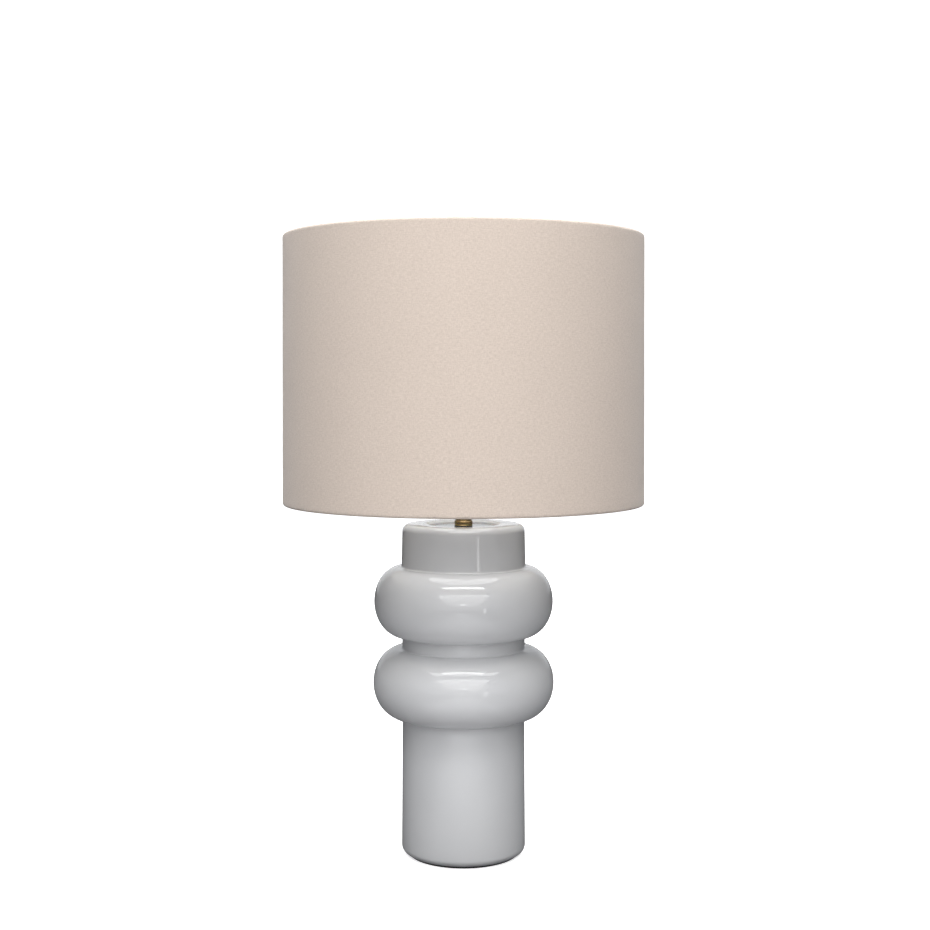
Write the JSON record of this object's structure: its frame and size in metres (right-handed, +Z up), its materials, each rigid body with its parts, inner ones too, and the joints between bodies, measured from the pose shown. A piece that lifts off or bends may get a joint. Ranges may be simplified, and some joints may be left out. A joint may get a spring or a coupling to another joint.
{
  "type": "table lamp with shade",
  "caption": "Table lamp: glazed ceramic body with two stacked bulges, brass neck, turn-knob socket, harp with finial and a linen drum shade.",
  "frame": {"origin": "on the table under the middle of the base", "axes": "+Z up the lamp's axis, -Y towards the front with the switch knob, +Y towards the cord outlet, +X to the right"},
  "size_m": [0.3827, 0.3828, 0.6736],
  "materials": {
    "felt": "black wool felt",
    "blackened_steel": "blackened sheet steel",
    "zinc_steel": "yellow zinc plated",
    "glazed_ceramic": "high gloss cool white glaze",
    "black_rubber": "moulded",
    "antique_brass": "antique, lacquered",
    "socket_brass": "satin",
    "insulating_card": "fishpaper",
    "phenolic": "moulded phenolic",
    "nickel": "nickel plated",
    "frosted_glass": "frosted inside",
    "clear_glass": "clear",
    "filament_wire": "drawn tungsten",
    "bulb_aluminium": "rolled thread",
    "black_glass": "fused black glass",
    "solder": "domed solder",
    "plated_wire": "zinc plated wire",
    "styrene": "translucent white sheet",
    "linen": "natural slubbed linen"
  },
  "bodies": {
    "base": {"felt_pad": "felt", "bottom_plate": "blackened_steel", "lock_washer": "zinc_steel", "hex_nut": "antique_brass", "lamp_pipe": "zinc_steel", "ceramic_body": "glazed_ceramic", "cord_bush": "black_rubber", "rubber_washer": "black_rubber", "check_ring": "antique_brass", "neck_tube": "antique_brass", "harp_saddle": "antique_brass", "socket_cap": "socket_brass", "cap_set_screw": "socket_brass", "cap_liner": "insulating_card", "socket_shell": "socket_brass", "shell_liner": "insulating_card", "switch_body": "phenolic", "terminal_screw_hot": "socket_brass", "terminal_screw_neutral": "nickel", "screw_shell": "socket_brass", "centre_contact": "socket_brass"},
    "knob": {"switch_shaft": "socket_brass", "switch_knob": "phenolic"},
    "bulb": {"bulb_glass": "frosted_glass", "bulb_stem": "clear_glass", "bulb_filament": "filament_wire", "bulb_cap": "bulb_aluminium", "bulb_insulator": "black_glass", "bulb_contact": "solder"},
    "harp": {"harp_wire": "antique_brass"},
    "left_ferrule": {"ferrule_left": "antique_brass"},
    "right_ferrule": {"ferrule_right": "antique_brass"},
    "shade": {"harp_stud": "antique_brass", "spider": "plated_wire", "top_ring": "plated_wire", "bottom_ring": "plated_wire", "shade_liner": "styrene", "shade_cover": "linen"},
    "finial": {"finial": "antique_brass"}
  },
  "joints": [
    {"name": "switch_turn", "type": "hinge", "parent": "base", "child": "knob", "pos_m": [0, -0.02, 0.4208], "axis": [0, -1, 0], "continuous": true},
    {"name": "bulb_turn", "type": "hinge", "parent": "base", "child": "bulb", "pos_m": [0, 0, 0.45], "axis": [0, 0, 1], "continuous": true},
    {"name": "harp_lift", "type": "slide", "parent": "base", "child": "harp", "axis": [0, 0, 1], "range_m": [0, 0.03]},
    {"name": "left_ferrule_slide", "type": "slide", "parent": "harp", "child": "left_ferrule", "axis": [0, 0, 1], "range_m": [0, 0.012]},
    {"name": "right_ferrule_slide", "type": "slide", "parent": "harp", "child": "right_ferrule", "axis": [0, 0, 1], "range_m": [0, 0.012]},
    {"name": "shade_swivel", "type": "hinge", "parent": "harp", "child": "shade", "pos_m": [0, 0, 0.64], "axis": [0, 0, 1], "continuous": true},
    {"name": "finial_turn", "type": "hinge", "parent": "shade", "child": "finial", "pos_m": [0, 0, 0.65], "axis": [0, 0, 1], "continuous": true}
  ]
}
